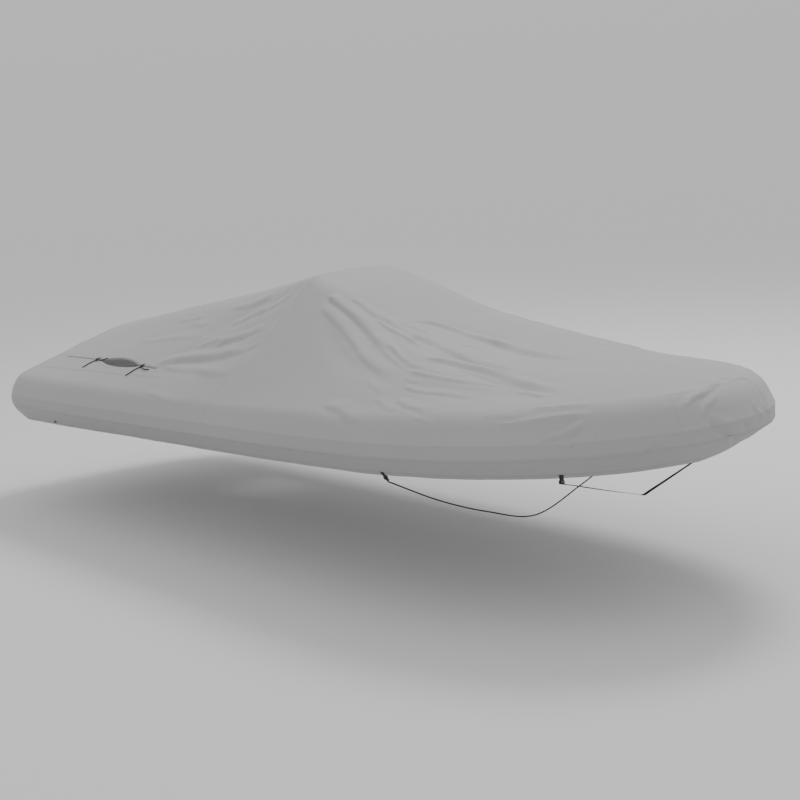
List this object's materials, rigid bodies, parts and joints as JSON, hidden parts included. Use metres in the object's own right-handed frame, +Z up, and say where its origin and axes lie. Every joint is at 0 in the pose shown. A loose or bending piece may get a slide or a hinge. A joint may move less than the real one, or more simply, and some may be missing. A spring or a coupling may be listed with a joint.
{
  "type": "boat cover",
  "caption": "Fitted cloth cover for a rigid inflatable boat: peaked over the console, blunt at the bow, with a slot each side for a roll-bar arch and a strap under the hem.",
  "frame": {"origin": "underside of the cloth at the middle of the crest that the boat's console holds up", "axes": "+X towards the bow, +Y to port, +Z up"},
  "size_m": [6.997, 2.704, 1.597],
  "materials": {
    "cover_cloth": "matt grey woven cover cloth",
    "skirt_cloth": "matt grey woven cover cloth",
    "tie_cord": "black braided cord",
    "webbing": "black woven webbing",
    "moulded_plastic": "black moulded plastic"
  },
  "bodies": {
    "root": {"top_aft": "cover_cloth", "top_fore": "cover_cloth", "nose_panel": "cover_cloth", "skirt_starboard": "skirt_cloth", "slot_strip_starboard": "cover_cloth", "knot_aft_starboard": "tie_cord", "tail_aft_outer_starboard": "tie_cord", "tail_aft_inner_starboard": "tie_cord", "knot_fore_starboard": "tie_cord", "tail_fore_outer_starboard": "tie_cord", "tail_fore_inner_starboard": "tie_cord", "hem_knot_starboard": "tie_cord", "tab_bow_starboard": "webbing", "slider_bow_starboard": "moulded_plastic", "tab_mid_starboard": "webbing", "slider_mid_starboard": "moulded_plastic", "skirt_port": "skirt_cloth", "slot_strip_port": "cover_cloth", "knot_aft_port": "tie_cord", "tail_aft_outer_port": "tie_cord", "tail_aft_inner_port": "tie_cord", "knot_fore_port": "tie_cord", "tail_fore_outer_port": "tie_cord", "tail_fore_inner_port": "tie_cord", "hem_knot_port": "tie_cord", "tab_bow_port": "webbing", "slider_bow_port": "moulded_plastic", "tab_mid_port": "webbing", "slider_mid_port": "moulded_plastic", "bow_strap": "webbing", "belly_cord": "tie_cord"}
  },
  "joints": []
}
